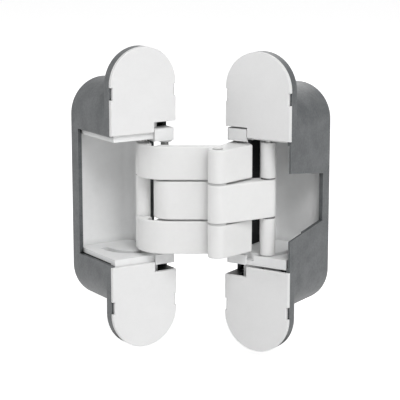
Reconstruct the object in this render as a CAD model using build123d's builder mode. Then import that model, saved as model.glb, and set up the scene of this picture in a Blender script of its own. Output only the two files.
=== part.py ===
"""Concealed scissor hinge for a flush door, shown open.

Two zinc housings are let into the frame and into the edge of the door. Each holds a white carriage that
can be set higher or lower. A fork arm and a tongue arm cross at a knuckle pin between the carriages.
The origin is the middle of the frame plate's four fixing holes, at the flange's back. X runs along the
plate towards its inner edge, Y into the frame and Z up. Lengths are in millimetres, angles in degrees.
"""

import os
from collections import namedtuple
from math import cos, radians, sin

from build123d import *

os.makedirs("parts", exist_ok=True)

# Plates and housings
plate_width = 27.0
plate_height = 111.0
cover_thickness = 1.3
flange_thickness = 3.5
body_height = 84.0
hinge_depth = 32.0
back_wall = 1.5
side_wall = 1.6
body_back_round = 2.0
bay_end_clearance = 0.3

# Openings in the housing walls
frame_window_height = 47.4
door_window_front = 25.0
door_window_back = 18.0
window_depth = 25.5
inner_opening_height = 47.4
inner_opening_depth = 16.0
lug_opening_clearance = 0.5
knuckle_relief = 0.7
knuckle_relief_height = 44.8
knuckle_relief_depth = 12.0

# Fixing holes
screw_pitch_across = 13.0
screw_pitch_along = 93.0
fixing_hole = 4.4
fixing_countersink = 8.4

# Covers
cover_edge_height = 24.1
cover_notch_clearance = 0.6
cover_notch_width = 9.1
cover_edge_round = 0.3
pry_below_round = 0.5
pry_length = 4.5
pry_depth = 0.8
clip_pitch = 22.2
clip_lift = 34.0
clip_width = 4.0
clip_thickness = 1.2
clip_length = 3.6
clip_clearance = 0.1

# Carriages
carriage_clearance = 0.2
carriage_back_wall = 1.1
carriage_side_wall = 1.5
carriage_corner = 3.0
pocket_height = 43.2
shelf_thickness = 1.8
shelf_front = 1.5
apron_height = 25.3
inner_wall_front = 22.0
tab_width = 16.0
tab_height = 37.0
tab_front = 4.6
tab_thickness = 3.0
tab_round = 2.0
height_travel = 2.0
door_drop = 1.95

# Lugs at the carriages' front inner corners
lug_width = 8.5
lug_edge = 13.2
lug_front = 0.3
lug_behind_pin = 2.9
lug_bottom = 20.7
lug_top = 25.2
lug_round = 1.2
collar_diameter = 5.2
collar_bottom = 19.95

# Clamp screws
clamp_height = 31.0
clamp_diameter = 4.0
clamp_length = 13.0
clamp_head_diameter = 7.0
clamp_head_thickness = 2.4
clamp_head_round = 0.8
clamp_head_clearance = 0.05
clamp_hexagon = 2.5
clamp_socket_depth = 1.4
clamp_slot_clearance = 0.3
clamp_hole_spare = 1.0

# Linkage with the door closed, each point in the axes of its own plate
closed_gap = 6.0
tongue_pivot = (10.9, 3.8)
fork_pivot = (10.8, 5.9)
closed_knuckle = (-9.0, -11.6)
closed_frame_guide = (-5.4, 19.9)
closed_door_guide = (-2.4, 26.0)
tongue_share = 0.606
fork_share = -0.315
opening = 115.0
widest_opening = 180.0
sweep_step = 15.0

# Arms, with plan points for the door as shown
tongue_height = 14.0
leaf_gap = 0.6
leaf_height = 12.2
leaf_edge = 0.5
bar_width = 4.8
fork_elbow = (0.05, -0.4)
fork_elbow_round = 8.5
tongue_elbow = (3.7, -2.7)
tongue_elbow_round = 3.4
bar_end = (24.2, -15.8)
fork_neck = (32.7, -18.4)
fork_neck_diameter = 3.2
knuckle_diameter = 7.0
frame_guide_eye = 5.4
door_guide_eye = 5.6
tongue_eye = 5.0
fork_eye = 4.8
relief_start = 125.0
relief_step = 5.0
pin_relief = 3.6
sleeve_relief = 6.1

# Pins, sleeves and washers
knuckle_pin = 3.9
knuckle_pin_reach = 20.1
pivot_pin = 3.0
pivot_pin_reach = 24.9
guide_pin_reach = 23.3
pin_clearance = 0.03
pin_chamfer = 0.3
groove_clearance = 0.2
groove_reach = 23.7
upper_sleeve_top = 20.5
lower_sleeve_end = 21.3
washer_thickness = 0.5
knuckle_washer = 6.6
guide_washer = 5.2

seat_depth = cover_thickness + flange_thickness
leaf_bottom = tongue_height / 2 + leaf_gap
leaf_top = leaf_bottom + leaf_height
bay_half_width = plate_width / 2 - side_wall
bay_back = hinge_depth - back_wall
shelf_bottom = pocket_height / 2
shelf_top = shelf_bottom + shelf_thickness
carriage_half_width = bay_half_width - carriage_clearance
carriage_back = bay_back - carriage_clearance
tab_back = tab_front + tab_thickness
bay_half_height = apron_height + height_travel + bay_end_clearance
lug_opening_reach = lug_top + height_travel + lug_opening_clearance
cover_notch_height = lug_top + height_travel + cover_notch_clearance
pry_height = (plate_height - plate_width - pry_length) / 2 - pry_below_round

Pose = namedtuple(
    "Pose", "knuckle frame_guide door_guide fork_pivot door_plate tongue_turn fork_turn door_turn"
)


def turned(point, angle, about=(0.0, 0.0)):
    """The plan point after a turn about another one."""
    c, s = cos(radians(angle)), sin(radians(angle))
    x, y = point[0] - about[0], point[1] - about[1]
    return (about[0] + c * x - s * y, about[1] + s * x + c * y)


def moved(point, start, end):
    """The plan point after the shift that takes start to end."""
    return (point[0] + end[0] - start[0], point[1] + end[1] - start[1])


def facing(point):
    """A point of the closed door's plate in the frame plate's axes."""
    return (point[0], -closed_gap - point[1])


def pose(angle):
    """Where the linkage is, in the frame plate's axes, with the door open by the angle."""
    tongue_turn = tongue_share * angle
    fork_turn = tongue_turn + fork_share * angle
    knuckle = turned(closed_knuckle, tongue_turn, tongue_pivot)
    door_guide = turned(facing(closed_door_guide), tongue_turn, tongue_pivot)
    frame_guide = moved(turned(closed_frame_guide, fork_turn, closed_knuckle), closed_knuckle, knuckle)
    pivot = moved(turned(facing(fork_pivot), fork_turn, closed_knuckle), closed_knuckle, knuckle)
    plate = moved(turned(facing((0, 0)), angle, facing(fork_pivot)), facing(fork_pivot), pivot)
    return Pose(knuckle, frame_guide, door_guide, pivot, plate, tongue_turn, fork_turn, angle - 180)


def poses_between(first, last, step):
    """The poses from one opening to another, evenly spaced."""
    count = max(2, round((last - first) / step))
    return [pose(first + (last - first) * number / count) for number in range(count + 1)]


rest = pose(opening)
sweep = poses_between(0, widest_opening, sweep_step)
wide_sweep = poses_between(relief_start, widest_opening, relief_step)


def on_rest_fork(point, place):
    """A plan point of a pose, carried back with the fork to the pose shown."""
    back = turned(point, rest.fork_turn - place.fork_turn, place.knuckle)
    return moved(back, place.knuckle, rest.knuckle)


def on_rest_tongue(point, place):
    """A plan point of a pose, carried back with the tongue to the pose shown."""
    return turned(point, rest.tongue_turn - place.tongue_turn, tongue_pivot)


def on_door_plate(point, place):
    """A plan point of a pose in the door plate's own axes."""
    return turned(moved(point, place.door_plate, (0, 0)), -place.door_turn)


frame_guide_path = [place.frame_guide for place in sweep]
door_guide_path = [on_door_plate(place.door_guide, place) for place in sweep]
frame_pin_path_on_fork = [on_rest_fork(tongue_pivot, place) for place in wide_sweep]
door_pin_path_on_tongue = [on_rest_tongue(place.fork_pivot, place) for place in wide_sweep]
door_guide_path_on_fork = [on_rest_fork(place.door_guide, place) for place in wide_sweep]


class Half:
    """One half of the hinge: where its plate lies, how it is turned and on which side its inner edge is."""

    def __init__(self, name, middle, height, turn, inner, pivot, guide_path):
        self.name = name
        self.middle = middle
        self.height = height
        self.turn = turn
        self.inner = inner
        self.pivot = (inner * pivot[0], pivot[1])
        self.guide_path = guide_path
        self.along = (*turned((1, 0), turn), 0)
        self.into = (*turned((0, 1), turn), 0)

    def level(self, z):
        """The level plane at a height above the carriages' middle, X along the plate."""
        return Plane(origin=(*self.middle, z), x_dir=self.along, z_dir=(0, 0, 1))

    def upright(self, depth, height=0.0):
        """The upright plane behind the plate's front by a depth, facing out, with its centre at a height."""
        centre = (self.middle[0] + self.into[0] * depth, self.middle[1] + self.into[1] * depth, height)
        return Plane(origin=centre, x_dir=self.along, z_dir=(-self.into[0], -self.into[1], 0))

    def plate(self, depth):
        """The upright plane at a depth, with its centre at the housing's."""
        return self.upright(depth, self.height)

    def edgewise(self):
        """The upright plane through the housing's middle that faces the plate's outer edge."""
        outward = (-self.inner * self.along[0], -self.inner * self.along[1], 0)
        return Plane(origin=(*self.middle, self.height), x_dir=self.into, z_dir=outward)

    def span(self, start, end, low, high):
        """Draws a rectangle between two distances towards the inner edge and two heights or depths."""
        with Locations((self.inner * (start + end) / 2, (low + high) / 2)):
            Rectangle(end - start, high - low)


frame_front = (0, -seat_depth)
door_front = moved(rest.door_plate, (0, 0), frame_front)
frame_half = Half("frame", frame_front, 0, 0, 1, tongue_pivot, frame_guide_path)
door_half = Half("door", door_front, -door_drop, rest.door_turn, -1, fork_pivot, door_guide_path)


def draw_band(points, width):
    """Draws the round-ended band along a smooth path in the open sketch."""
    with BuildLine() as middle:
        Spline(*points)
    trace(middle.edges(), width)
    with Locations(points[0], points[-1]):
        Circle(width / 2)


def finish(builder, label):
    """Names the finished piece and writes its file."""
    builder.part.label = label
    export_step(builder.part, f"parts/{label}.step")


# Housings


def cut_outer_window(half):
    """Opens the outer wall: fully at the frame, as a tapered window at the door."""
    front, back = door_window_front / 2, door_window_back / 2
    if half is frame_half:
        front = back = frame_window_height / 2
    with BuildSketch(half.edgewise()) as plan:
        corners = [(0, -front), (cover_thickness, -front), (window_depth, -back)]
        mirrored = [(x, -y) for x, y in reversed(corners)]
        Polygon(*corners, *mirrored, align=None)
    extrude(plan.sketch, amount=plate_width, mode=Mode.SUBTRACT)


def cut_inner_opening(half):
    """Opens the inner wall for the arms and, at the front, for the lugs."""
    front = half.plate(cover_thickness)
    reach = inner_opening_height / 2
    with BuildSketch(front) as plan:
        half.span(0, plate_width, -reach, reach)
    extrude(plan.sketch, amount=cover_thickness - inner_opening_depth, mode=Mode.SUBTRACT)
    lug_depth = half.pivot[1] + lug_behind_pin + carriage_clearance
    lug_side = lug_edge - lug_width - carriage_clearance
    with BuildSketch(front) as plan:
        half.span(lug_side, plate_width, -lug_opening_reach, lug_opening_reach)
    extrude(plan.sketch, amount=cover_thickness - lug_depth, mode=Mode.SUBTRACT)


def cut_bay(half):
    """Hollows the body for the carriage, its tabs and the closed knuckle."""
    front = half.plate(cover_thickness)
    with BuildSketch(front) as plan:
        Rectangle(2 * bay_half_width, 2 * bay_half_height)
    extrude(plan.sketch, amount=cover_thickness - bay_back, mode=Mode.SUBTRACT)
    tab_reach = tab_height + height_travel + clip_clearance
    with BuildSketch(front) as plan:
        RectangleRounded(tab_width + 4 * carriage_clearance, 2 * tab_reach, tab_round)
    extrude(plan.sketch, amount=cover_thickness - tab_back - carriage_clearance, mode=Mode.SUBTRACT)
    relief_reach = knuckle_relief_height / 2
    with BuildSketch(front) as plan:
        half.span(-bay_half_width - knuckle_relief, 0, -relief_reach, relief_reach)
    extrude(plan.sketch, amount=cover_thickness - knuckle_relief_depth, mode=Mode.SUBTRACT)


def cut_housing_holes(half):
    """Makes the countersunk fixing holes, the threaded clamp holes and the slits for the cover clips."""
    front = half.plate(cover_thickness)
    with BuildSketch(front) as plan:
        with GridLocations(screw_pitch_across, screw_pitch_along, 2, 2):
            Circle(fixing_hole / 2)
    extrude(plan.sketch, amount=-flange_thickness, mode=Mode.SUBTRACT)
    with BuildSketch(front) as plan:
        with GridLocations(screw_pitch_across, screw_pitch_along, 2, 2):
            Circle(fixing_countersink / 2)
    extrude(plan.sketch, amount=-(fixing_countersink - fixing_hole) / 2, taper=45, mode=Mode.SUBTRACT)
    with BuildSketch(front) as plan:
        with GridLocations(0, 2 * clamp_height, 1, 2):
            Circle(clamp_diameter / 2 + pin_clearance)
    clamp_hole_back = tab_front + clamp_length + clamp_hole_spare
    extrude(plan.sketch, amount=cover_thickness - clamp_hole_back, mode=Mode.SUBTRACT)
    with BuildSketch(front) as plan:
        with GridLocations(clip_pitch, 2 * clip_lift, 2, 2):
            Rectangle(clip_thickness + 2 * clip_clearance, clip_width + 2 * clip_clearance)
    extrude(plan.sketch, amount=-clip_length - clip_clearance, mode=Mode.SUBTRACT)


def build_housing(half):
    """The zinc casting: a round-ended flange on a deep body that is hollowed for the carriage."""
    front = half.plate(cover_thickness)
    with BuildPart() as housing:
        with BuildSketch(front):
            SlotOverall(body_height, plate_width, rotation=90)
        extrude(amount=cover_thickness - hinge_depth)
        deepest = housing.faces().sort_by(Axis(front.origin, front.z_dir))[0]
        fillet(deepest.edges(), body_back_round)
        with BuildSketch(front):
            SlotOverall(plate_height, plate_width, rotation=90)
        extrude(amount=-flange_thickness)
        cut_bay(half)
        cut_outer_window(half)
        cut_inner_opening(half)
        cut_housing_holes(half)
    finish(housing, f"{half.name}_housing")


def build_cover(half, up, label):
    """A clip-on cover with a round end, a notch round the lug and two pry notches."""
    back = half.plate(cover_thickness)
    edge = plate_width / 2
    with BuildPart() as cover:
        with BuildSketch(back):
            SlotOverall(plate_height, plate_width, rotation=90)
            with Locations((0, up * (cover_edge_height - plate_height / 2))):
                Rectangle(plate_width, plate_height, mode=Mode.SUBTRACT)
            with Locations((half.inner * (edge - cover_notch_width / 2), 0)):
                Rectangle(cover_notch_width, 2 * cover_notch_height, mode=Mode.SUBTRACT)
            with Locations((edge, up * pry_height), (-edge, up * pry_height)):
                Rectangle(2 * pry_depth, pry_length, mode=Mode.SUBTRACT)
        extrude(amount=cover_thickness)
        face = cover.faces().sort_by(Axis(back.origin, back.z_dir))[-1]
        fillet(face.edges(), cover_edge_round)
        with BuildSketch(back):
            with Locations((clip_pitch / 2, up * clip_lift), (-clip_pitch / 2, up * clip_lift)):
                Rectangle(clip_thickness, clip_width)
        extrude(amount=-clip_length)
    finish(cover, label)


# Carriages


def add_tabs(half):
    """Adds the tabs behind the covers, each with an upright slot for its clamp screw."""
    with BuildSketch(half.upright(tab_front)) as plan:
        RectangleRounded(tab_width, 2 * tab_height, tab_round)
    extrude(plan.sketch, amount=-tab_thickness)
    slot_width = clamp_diameter + 2 * clamp_slot_clearance
    with BuildSketch(half.upright(tab_front)) as plan:
        with GridLocations(0, 2 * clamp_height, 1, 2):
            SlotCenterToCenter(2 * height_travel, slot_width, rotation=90)
    extrude(plan.sketch, amount=-tab_thickness, mode=Mode.SUBTRACT)


def cut_pocket(half):
    """Hollows the carriage, open to the front, to the outer edge and, at the front, to the inner edge."""
    deep = carriage_back - carriage_back_wall
    wall = carriage_half_width - carriage_side_wall
    with BuildSketch(half.level(0)) as plan:
        half.span(-plate_width, wall, 0, deep)
        fillet(plan.vertices().sort_by_distance((half.inner * wall, deep))[0], carriage_corner)
        half.span(0, plate_width, 0, inner_wall_front)
    extrude(plan.sketch, amount=shelf_bottom, both=True, mode=Mode.SUBTRACT)


def add_lug(half, up, bottom):
    """Adds the block that holds one end of the pivot pin, with a collar that spaces the arms."""
    depth = half.pivot[1] + lug_behind_pin
    with BuildSketch(half.level(up * bottom)) as plan:
        half.span(lug_edge - lug_width, lug_edge, lug_front, depth)
        fillet(plan.vertices().sort_by_distance((half.inner * lug_edge, lug_front))[0], lug_round)
    extrude(plan.sketch, amount=up * (lug_top - bottom))
    with BuildSketch(half.level(up * collar_bottom)) as plan:
        with Locations(half.pivot):
            Circle(collar_diameter / 2)
    extrude(plan.sketch, amount=up * (lug_top - collar_bottom))


def build_carriage(half):
    """The white carriage: two shelves, a deep wall, tabs, lugs and the grooves that guide an arm's pin."""
    with BuildPart() as carriage:
        with BuildSketch(half.upright(shelf_front)):
            Rectangle(2 * carriage_half_width, 2 * shelf_top)
        extrude(amount=shelf_front - carriage_back)
        with BuildSketch(half.upright(shelf_front)):
            Rectangle(2 * carriage_half_width, 2 * apron_height)
        extrude(amount=shelf_front - tab_front)
        add_tabs(half)
        cut_pocket(half)
        add_lug(half, 1, lug_bottom)
        add_lug(half, -1, shelf_bottom)
        with BuildSketch(half.level(0)):
            with Locations(half.pivot):
                Circle(pivot_pin / 2 + pin_clearance)
        extrude(amount=lug_top, both=True, mode=Mode.SUBTRACT)
        with BuildSketch(half.level(0)):
            draw_band(half.guide_path, pivot_pin + 2 * groove_clearance)
        extrude(amount=groove_reach, both=True, mode=Mode.SUBTRACT)
    finish(carriage, f"{half.name}_carriage")


def build_clamp_screws(half):
    """The two socket screws that hold a carriage at its height."""
    seat = half.plate(tab_front - clamp_head_clearance)
    with BuildPart() as screws:
        with BuildSketch(seat):
            with GridLocations(0, 2 * clamp_height, 1, 2):
                Circle(clamp_head_diameter / 2)
        extrude(amount=clamp_head_thickness)
        fillet(screws.edges().group_by(Axis(seat.origin, seat.z_dir))[-1], clamp_head_round)
        with BuildSketch(seat):
            with GridLocations(0, 2 * clamp_height, 1, 2):
                Circle(clamp_diameter / 2)
        extrude(amount=-clamp_length)
        with BuildSketch(seat.offset(clamp_head_thickness)):
            with GridLocations(0, 2 * clamp_height, 1, 2):
                RegularPolygon(clamp_hexagon / 2, 6, major_radius=False)
        extrude(amount=-clamp_socket_depth, mode=Mode.SUBTRACT)
    finish(screws, f"{half.name}_clamp_screws")


# Arms


def build_leaf(bottom, height, bar, elbow_round, neck, bores, channels, label):
    """One leaf of an arm: a bent bar that runs on into a broad neck, with eyes for its pins."""
    base = frame_half.level(bottom)
    with BuildPart() as leaf:
        with BuildSketch(base):
            with BuildLine():
                FilletPolyline(*bar, radius=elbow_round)
                offset(amount=bar_width / 2, side=Side.BOTH)
            make_face()
        extrude(amount=height)
        with BuildSketch(base):
            for centre, diameter in neck:
                with Locations(centre):
                    Circle(diameter / 2)
            make_hull()
        extrude(amount=height)
        with BuildSketch(base):
            for centre, eye, _ in bores:
                with Locations(centre):
                    Circle(eye / 2)
        extrude(amount=height)
        ends = leaf.faces().filter_by(Axis.Z).edges()
        fillet(ends, leaf_edge)
        with BuildSketch(base):
            for centre, _, pin in bores:
                with Locations(centre):
                    Circle(pin / 2 + pin_clearance)
        extrude(amount=height, mode=Mode.SUBTRACT)
        for path, width in channels:
            with BuildSketch(base):
                draw_band(path, width)
            extrude(amount=height, mode=Mode.SUBTRACT)
    finish(leaf, label)


def build_fork_leaf(bottom, label):
    """A leaf of the fork arm, which slides in the frame and turns at the door."""
    bar = [rest.frame_guide, fork_elbow, bar_end]
    neck = [
        (rest.knuckle, knuckle_diameter),
        (bar_end, bar_width),
        (fork_neck, fork_neck_diameter),
        (rest.fork_pivot, fork_eye),
    ]
    bores = [
        (rest.frame_guide, frame_guide_eye, pivot_pin),
        (rest.knuckle, knuckle_diameter, knuckle_pin),
        (rest.fork_pivot, fork_eye, pivot_pin),
    ]
    channels = [(frame_pin_path_on_fork, pin_relief), (door_guide_path_on_fork, sleeve_relief)]
    build_leaf(bottom, leaf_height, bar, fork_elbow_round, neck, bores, channels, label)


def build_tongue_leaf():
    """The tongue arm, which turns at the frame and slides in the door."""
    bar = [tongue_pivot, tongue_elbow, bar_end]
    neck = [
        (rest.knuckle, knuckle_diameter),
        (bar_end, bar_width),
        (rest.door_guide, door_guide_eye),
    ]
    bores = [
        (tongue_pivot, tongue_eye, pivot_pin),
        (rest.knuckle, knuckle_diameter, knuckle_pin),
        (rest.door_guide, door_guide_eye, pivot_pin),
    ]
    channels = [(door_pin_path_on_tongue, pin_relief)]
    bottom = -tongue_height / 2
    build_leaf(bottom, tongue_height, bar, tongue_elbow_round, neck, bores, channels, "tongue_leaf")


# Pins, sleeves and washers


def build_pin(centre, diameter, reach, label):
    """An upright pin with chamfered ends."""
    with BuildPart() as pin:
        with BuildSketch(frame_half.level(0)):
            with Locations(centre):
                Circle(diameter / 2)
        extrude(amount=reach, both=True)
        chamfer(pin.faces().filter_by(Axis.Z).edges(), pin_chamfer)
    finish(pin, label)


def build_rings(centre, outer, inner, spans, label):
    """Sleeves or washers round a pin, each from one height to another."""
    with BuildPart() as rings:
        for bottom, top in spans:
            with BuildSketch(frame_half.level(bottom)):
                with Locations(centre):
                    Circle(outer / 2)
                    Circle(inner / 2 + pin_clearance, mode=Mode.SUBTRACT)
            extrude(amount=top - bottom)
    finish(rings, label)


for half in (frame_half, door_half):
    build_housing(half)
    build_cover(half, 1, f"{half.name}_cover_upper")
    build_cover(half, -1, f"{half.name}_cover_lower")
    build_carriage(half)
    build_clamp_screws(half)

build_fork_leaf(leaf_bottom, "fork_leaf_upper")
build_fork_leaf(-leaf_top, "fork_leaf_lower")
build_tongue_leaf()

build_pin(rest.knuckle, knuckle_pin, knuckle_pin_reach, "knuckle_pin")
build_pin(tongue_pivot, pivot_pin, pivot_pin_reach, "frame_pivot_pin")
build_pin(rest.fork_pivot, pivot_pin, pivot_pin_reach, "door_pivot_pin")
build_pin(rest.frame_guide, pivot_pin, guide_pin_reach, "frame_guide_pin")
build_pin(rest.door_guide, pivot_pin, guide_pin_reach, "door_guide_pin")

washer_bottom = tongue_height / 2 + (leaf_gap - washer_thickness) / 2
washer_top = washer_bottom + washer_thickness
washer_spans = [(washer_bottom, washer_top), (-washer_top, -washer_bottom)]
middle_span = [(-washer_top, washer_top)]
upper_span = [(washer_top, upper_sleeve_top)]
lower_span = [(-lower_sleeve_end, -washer_top)]
build_rings(rest.knuckle, knuckle_washer, knuckle_pin, washer_spans, "knuckle_washers")
build_rings(rest.door_guide, guide_washer, pivot_pin, washer_spans, "door_guide_washers")
build_rings(rest.frame_guide, frame_guide_eye, pivot_pin, middle_span, "frame_guide_sleeve")
build_rings(rest.door_guide, door_guide_eye, pivot_pin, upper_span, "door_guide_sleeve_upper")
build_rings(rest.door_guide, door_guide_eye, pivot_pin, lower_span, "door_guide_sleeve_lower")
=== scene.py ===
"""Looks of the concealed scissor hinge: materials, floor, studio light and camera.

Everything is in metres.
"""
import math

import bpy
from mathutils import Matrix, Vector


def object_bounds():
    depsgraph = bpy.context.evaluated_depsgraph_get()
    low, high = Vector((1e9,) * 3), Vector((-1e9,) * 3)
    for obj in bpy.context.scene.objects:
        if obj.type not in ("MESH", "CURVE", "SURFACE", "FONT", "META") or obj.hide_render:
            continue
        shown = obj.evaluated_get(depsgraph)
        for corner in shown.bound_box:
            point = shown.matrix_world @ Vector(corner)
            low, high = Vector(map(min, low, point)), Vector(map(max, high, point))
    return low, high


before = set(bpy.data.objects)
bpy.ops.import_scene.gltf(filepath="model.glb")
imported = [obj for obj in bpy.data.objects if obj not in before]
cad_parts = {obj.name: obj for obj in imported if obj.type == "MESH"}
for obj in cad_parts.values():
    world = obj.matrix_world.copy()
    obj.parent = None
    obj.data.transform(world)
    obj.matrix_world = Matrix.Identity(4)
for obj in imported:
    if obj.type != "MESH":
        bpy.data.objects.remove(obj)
cad_box = [list(corner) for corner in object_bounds()]

# Camera, floor and surroundings
camera_place = (-0.2756, -0.4786, 0.1134)
camera_turn = -32.29
camera_down = 11.72
camera_lens = 138.7
camera_sensor = 36.0
camera_near = 0.01
camera_far = 20.0
lamp_target = (0.02, 0.0, 0.0)
floor_size = 6.0
floor_white = 0.86
floor_drop = 0.0025
floor_roughness = 0.9
floor_gloss = 0.1
floor_glow = 0.8
world_light = 0.15

# Surfaces: the scales of noise are in waves a metre
mottle_scale = 140.0
mottle_detail = 4.0
fine_detail = 2.0
pit_roughness = 0.6
shine_scale = 420.0
speckle_coarseness = 0.6
speckle_share = 0.4
coat_start = 0.38
coat_stop = 0.62
coat_bump = 0.5
roughness_spread = 0.06
edge_width = 0.0004
edge_full = 0.82
edge_samples = 6
depth_samples = 8
open_gloss = 0.5
ring_scale = (60, 60, 5200)
ring_shadow = 0.82
ring_depth = 0.00002
ring_bump = 0.3

# Painted shade in cavities and creases, darkening the colour and the gloss by ambient occlusion: the
# share of the colour left at the darkest, the reach of the look around, and the openness at which a
# spot is darkest and at which it is clear
deep_shade = {"darkest": 0.12, "reach": 0.03, "shut": 0.4, "clear": 0.58}
crease_shade = {"darkest": 0.75, "reach": 0.003, "shut": 0.25, "clear": 0.85}


def neutral(value):
    """A colour without a hue."""
    return (value, value, value)


def new_material(name):
    """An empty node material, with its tree and shader."""
    material = bpy.data.materials.new(name)
    material.use_nodes = True
    tree = material.node_tree
    return material, tree, tree.nodes["Principled BSDF"]


def add(tree, kind, **values):
    """A node of a kind, with the given settings or input values (an underscore stands for a space)."""
    node = tree.nodes.new(kind)
    for key, value in values.items():
        if hasattr(node, key):
            setattr(node, key, value)
        else:
            node.inputs[key.replace("_", " ")].default_value = value
    return node


def noise(tree, scale, detail, roughness=0.55):
    """Noise over the object's own coordinates."""
    place = add(tree, "ShaderNodeTexCoord")
    texture = add(tree, "ShaderNodeTexNoise", Scale=scale, Detail=detail, Roughness=roughness)
    tree.links.new(place.outputs["Object"], texture.inputs["Vector"])
    return texture.outputs["Fac"]


def ramp(tree, source, low, high, start=0.3, stop=0.7):
    """Colours from low to high across part of a source's range."""
    node = add(tree, "ShaderNodeValToRGB")
    ends = node.color_ramp.elements
    for end, position, colour in zip(ends, (start, stop), (low, high)):
        end.position = position
        end.color = (*colour, 1)
    tree.links.new(source, node.inputs["Fac"])
    return node.outputs["Color"]


def bump(tree, shader, height, distance, strength):
    """Roughens the shader's normal by a height."""
    node = add(tree, "ShaderNodeBump", Strength=strength, Distance=distance)
    tree.links.new(height, node.inputs["Height"])
    tree.links.new(node.outputs["Normal"], shader.inputs["Normal"])


def edge_mask(tree, radius):
    """One near edges and zero on faces, from the difference between rounded and plain normals: where
    the edge highlight is painted.
    """
    rounded = add(tree, "ShaderNodeBevel", samples=edge_samples, Radius=radius)
    plain = add(tree, "ShaderNodeNewGeometry")
    product = add(tree, "ShaderNodeVectorMath", operation="DOT_PRODUCT")
    tree.links.new(rounded.outputs["Normal"], product.inputs[0])
    tree.links.new(plain.outputs["Normal"], product.inputs[1])
    spread = add(tree, "ShaderNodeMapRange", From_Min=1.0, From_Max=edge_full)
    tree.links.new(product.outputs["Value"], spread.inputs["Value"])
    return spread.outputs["Result"]


def painted_cavity_shade(tree, colour, darkest, reach, shut, clear):
    """A colour with painted shade in cavities and creases, and the share of it that is left."""
    hidden = add(tree, "ShaderNodeAmbientOcclusion", samples=depth_samples, Distance=reach)
    share = add(tree, "ShaderNodeMapRange", From_Min=shut, From_Max=clear, To_Min=darkest)
    tree.links.new(hidden.outputs["AO"], share.inputs["Value"])
    product = add(tree, "ShaderNodeVectorMath", operation="SCALE")
    tree.links.new(colour, product.inputs[0])
    tree.links.new(share.outputs["Result"], product.inputs["Scale"])
    return product.outputs["Vector"], share.outputs["Result"]


def larger(tree, first, second):
    """The larger of two values."""
    node = add(tree, "ShaderNodeMath", operation="MAXIMUM")
    tree.links.new(first, node.inputs[0])
    tree.links.new(second, node.inputs[1])
    return node.outputs["Value"]


def seen_plainly(tree):
    """One for rays from the camera, a reflection or glass, and zero for all others."""
    rays = add(tree, "ShaderNodeLightPath").outputs
    reflected = larger(tree, rays["Is Camera Ray"], rays["Is Glossy Ray"])
    return larger(tree, reflected, rays["Is Transmission Ray"])


def coated(name, low, high, edge_highlight, roughness, grain, pit_depth, shade):
    """A coated or moulded surface: faint mottling, a fine grain, painted highlights on edges, painted
    shade in cavities.
    """
    material, tree, shader = new_material(name)
    blend = add(tree, "ShaderNodeMix", data_type="FLOAT", Factor=speckle_share)
    tree.links.new(noise(tree, mottle_scale, mottle_detail), blend.inputs["A"])
    tree.links.new(noise(tree, speckle_coarseness * grain, fine_detail), blend.inputs["B"])
    colours = ramp(tree, blend.outputs["Result"], low, high, coat_start, coat_stop)
    # Painted highlight: edges get a lighter colour, as where light catches them
    mix = add(tree, "ShaderNodeMix", data_type="RGBA", B=(*edge_highlight, 1))
    tree.links.new(edge_mask(tree, edge_width), mix.inputs["Factor"])
    tree.links.new(colours, mix.inputs["A"])
    # Painted shade: the colour darkens where ambient occlusion finds cavities and creases
    shaded, painted_shade_share = painted_cavity_shade(tree, mix.outputs["Result"], **shade)
    tree.links.new(shaded, shader.inputs["Base Color"])
    # The painted shade's share also dims the gloss in cavities and creases
    gloss = add(tree, "ShaderNodeMath", operation="MULTIPLY")
    gloss.inputs[1].default_value = open_gloss
    tree.links.new(painted_shade_share, gloss.inputs[0])
    tree.links.new(gloss.outputs["Value"], shader.inputs["Specular IOR Level"])
    spread = add(tree, "ShaderNodeMapRange", To_Min=roughness - roughness_spread,
                 To_Max=roughness + roughness_spread)
    tree.links.new(noise(tree, shine_scale, fine_detail), spread.inputs["Value"])
    tree.links.new(spread.outputs["Result"], shader.inputs["Roughness"])
    pits = noise(tree, grain, fine_detail, pit_roughness)
    bump(tree, shader, pits, pit_depth, coat_bump)
    return material


def steel(name, colour, roughness):
    """Turned steel with fine rings round the pin's axis."""
    material, tree, shader = new_material(name)
    place = add(tree, "ShaderNodeTexCoord")
    stretch = add(tree, "ShaderNodeMapping", Scale=ring_scale)
    tree.links.new(place.outputs["Object"], stretch.inputs["Vector"])
    rings = add(tree, "ShaderNodeTexNoise", Scale=1.0, Detail=fine_detail)
    tree.links.new(stretch.outputs["Vector"], rings.inputs["Vector"])
    darker = tuple(ring_shadow * value for value in colour)
    tree.links.new(ramp(tree, rings.outputs["Fac"], darker, colour), shader.inputs["Base Color"])
    shader.inputs["Metallic"].default_value = 1.0
    shader.inputs["Roughness"].default_value = roughness
    bump(tree, shader, rings.outputs["Fac"], ring_depth, ring_bump)
    return material


casting = coated("grey_casting", low=(0.062, 0.069, 0.073), high=(0.116, 0.123, 0.128),
                 edge_highlight=(0.17, 0.176, 0.182), roughness=0.45, grain=2200.0, pit_depth=0.00006,
                 shade=deep_shade)
cover_white = coated("white_cover", low=neutral(0.86), high=neutral(0.88), edge_highlight=neutral(0.9),
                     roughness=0.5, grain=1500.0, pit_depth=0.00001, shade=crease_shade)
carriage_white = coated("white_carriage", low=(0.88, 0.885, 0.885), high=(0.91, 0.915, 0.915),
                        edge_highlight=neutral(0.92), roughness=0.5, grain=900.0, pit_depth=0.00003,
                        shade=crease_shade)
arm_white = coated("white_arm", low=(0.87, 0.87, 0.865), high=(0.89, 0.89, 0.885),
                   edge_highlight=neutral(0.91), roughness=0.42, grain=1100.0, pit_depth=0.00002,
                   shade=crease_shade)
sleeve_white = coated("white_sleeve", low=(0.84, 0.84, 0.835), high=(0.87, 0.87, 0.865),
                      edge_highlight=neutral(0.88), roughness=0.4, grain=1300.0, pit_depth=0.00001,
                      shade=crease_shade)
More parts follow.
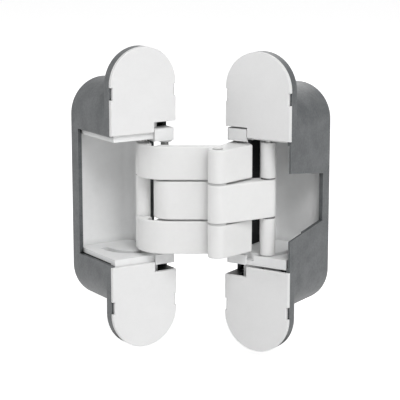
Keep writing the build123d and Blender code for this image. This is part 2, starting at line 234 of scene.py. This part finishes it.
washer_grey = coated("grey_washer", low=(0.16, 0.16, 0.165), high=(0.2, 0.2, 0.205),
                     edge_highlight=neutral(0.22), roughness=0.5, grain=1500.0, pit_depth=0.00001,
                     shade=deep_shade)
washer_pale = coated("pale_washer", low=neutral(0.55), high=neutral(0.6), edge_highlight=neutral(0.62),
                     roughness=0.5, grain=1500.0, pit_depth=0.00001, shade=crease_shade)
pin_steel = steel("pin_steel", (0.4, 0.4, 0.395), 0.34)
screw_steel = steel("screw_steel", neutral(0.5), 0.36)

finishes = {
    "frame_housing": casting,
    "door_housing": casting,
    "frame_cover_upper": cover_white,
    "frame_cover_lower": cover_white,
    "door_cover_upper": cover_white,
    "door_cover_lower": cover_white,
    "frame_carriage": carriage_white,
    "door_carriage": carriage_white,
    "frame_clamp_screws": screw_steel,
    "door_clamp_screws": screw_steel,
    "fork_leaf_upper": arm_white,
    "fork_leaf_lower": arm_white,
    "tongue_leaf": arm_white,
    "knuckle_pin": pin_steel,
    "frame_pivot_pin": pin_steel,
    "door_pivot_pin": pin_steel,
    "frame_guide_pin": pin_steel,
    "door_guide_pin": pin_steel,
    "frame_guide_sleeve": sleeve_white,
    "door_guide_sleeve_upper": sleeve_white,
    "door_guide_sleeve_lower": sleeve_white,
    "knuckle_washers": washer_pale,
    "door_guide_washers": washer_grey,
}
for node, finish in finishes.items():
    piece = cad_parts[node]
    piece.data.materials.clear()
    piece.data.materials.append(finish)


def soft_lamp(name, place, size, power):
    """A square area lamp that points at the hinge."""
    data = bpy.data.lights.new(name, "AREA")
    data.size = size
    data.energy = power
    lamp = bpy.data.objects.new(name, data)
    lamp.location = place
    toward = Vector(lamp_target) - Vector(place)
    lamp.rotation_euler = toward.to_track_quat("-Z", "Y").to_euler()
    bpy.context.collection.objects.link(lamp)


soft_lamp("key", place=(-0.25, -0.75, 0.75), size=0.45, power=4.9)
soft_lamp("low", place=(-0.1, -1.0, 0.15), size=0.4, power=1.0)
soft_lamp("front", place=(0.3, -0.85, 0.4), size=0.5, power=1.8)
soft_lamp("side", place=(-0.8, 0.45, 0.45), size=0.5, power=2.8)
# The back lamp stands off the camera's mirror direction, to keep glare off the level faces
soft_lamp("back", place=(0.74, 0.62, 0.48), size=0.6, power=1.7)

# A pale floor below the part's lowest pose, which glows where it is seen plainly
bpy.ops.mesh.primitive_plane_add(size=floor_size, location=(0, 0, cad_box[0][2] - floor_drop))
floor = bpy.context.object
floor.name = "floor"
floor_material, tree, shader = new_material("pale_floor")
shader.inputs["Base Color"].default_value = (*neutral(floor_white), 1)
shader.inputs["Roughness"].default_value = floor_roughness
shader.inputs["Specular IOR Level"].default_value = floor_gloss
floor.data.materials.append(floor_material)
glow = add(tree, "ShaderNodeEmission", Strength=floor_glow)
both = add(tree, "ShaderNodeAddShader")
surface = add(tree, "ShaderNodeMixShader")
tree.links.new(shader.outputs["BSDF"], both.inputs[0])
tree.links.new(glow.outputs["Emission"], both.inputs[1])
tree.links.new(seen_plainly(tree), surface.inputs["Fac"])
tree.links.new(shader.outputs["BSDF"], surface.inputs[1])
tree.links.new(both.outputs["Shader"], surface.inputs[2])
tree.links.new(surface.outputs["Shader"], tree.nodes["Material Output"].inputs["Surface"])

# White surroundings where they are seen plainly, and a weak light everywhere else
world = bpy.data.worlds.new("studio")
bpy.context.scene.world = world
world.use_nodes = True
tree = world.node_tree
soft = tree.nodes["Background"]
soft.inputs["Color"].default_value = (*neutral(1), 1)
soft.inputs["Strength"].default_value = world_light
seen = add(tree, "ShaderNodeBackground", Color=(*neutral(1), 1), Strength=1.0)
choice = add(tree, "ShaderNodeMixShader")
tree.links.new(seen_plainly(tree), choice.inputs["Fac"])
tree.links.new(soft.outputs["Background"], choice.inputs[1])
tree.links.new(seen.outputs["Background"], choice.inputs[2])
tree.links.new(choice.outputs["Shader"], tree.nodes["World Output"].inputs["Surface"])

camera_data = bpy.data.cameras.new("camera")
camera_data.lens = camera_lens
camera_data.sensor_width = camera_sensor
camera_data.clip_start = camera_near
camera_data.clip_end = camera_far
camera = bpy.data.objects.new("camera", camera_data)
camera.location = camera_place
camera.rotation_euler = (math.radians(90 - camera_down), 0, math.radians(camera_turn))
bpy.context.collection.objects.link(camera)
bpy.context.scene.camera = camera

bpy.context.scene.view_settings.view_transform = "Standard"
